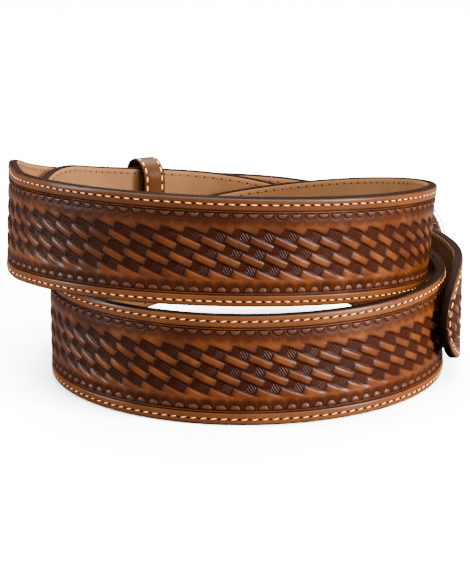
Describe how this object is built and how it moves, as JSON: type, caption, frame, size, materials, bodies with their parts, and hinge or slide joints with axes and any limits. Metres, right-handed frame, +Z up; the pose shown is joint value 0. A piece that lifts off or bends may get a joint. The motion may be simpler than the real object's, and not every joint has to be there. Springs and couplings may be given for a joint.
{
  "type": "ranger belt",
  "caption": "Lined leather belt with woven tooling, a rope edged buckle on a narrow strap and a keeper loop, standing coiled on its edge.",
  "frame": {"origin": "on the floor under the middle of the coil's outer size", "axes": "+Z up across the strap's width, -Y the front of the coil as pictured, +X to its right, where the strap's outer end stands"},
  "size_m": [0.1672, 0.1676, 0.0779],
  "materials": {
    "tooled_leather": "semi-gloss, antiqued in the tooling, dark burnished edges",
    "lining_leather": "matte natural tan",
    "plain_leather": "smooth satin, dark burnished edges",
    "silver_metal": "polished with a darkened rope edge",
    "thread": "waxed off-white thread"
  },
  "bodies": {
    "root": {"belt_body": "tooled_leather", "belt_lining": "lining_leather", "keeper_loop": "plain_leather", "tongue_billet": "plain_leather", "buckle_billet": "plain_leather", "buckle_frame": "silver_metal", "buckle_pin": "silver_metal"}
  },
  "joints": []
}
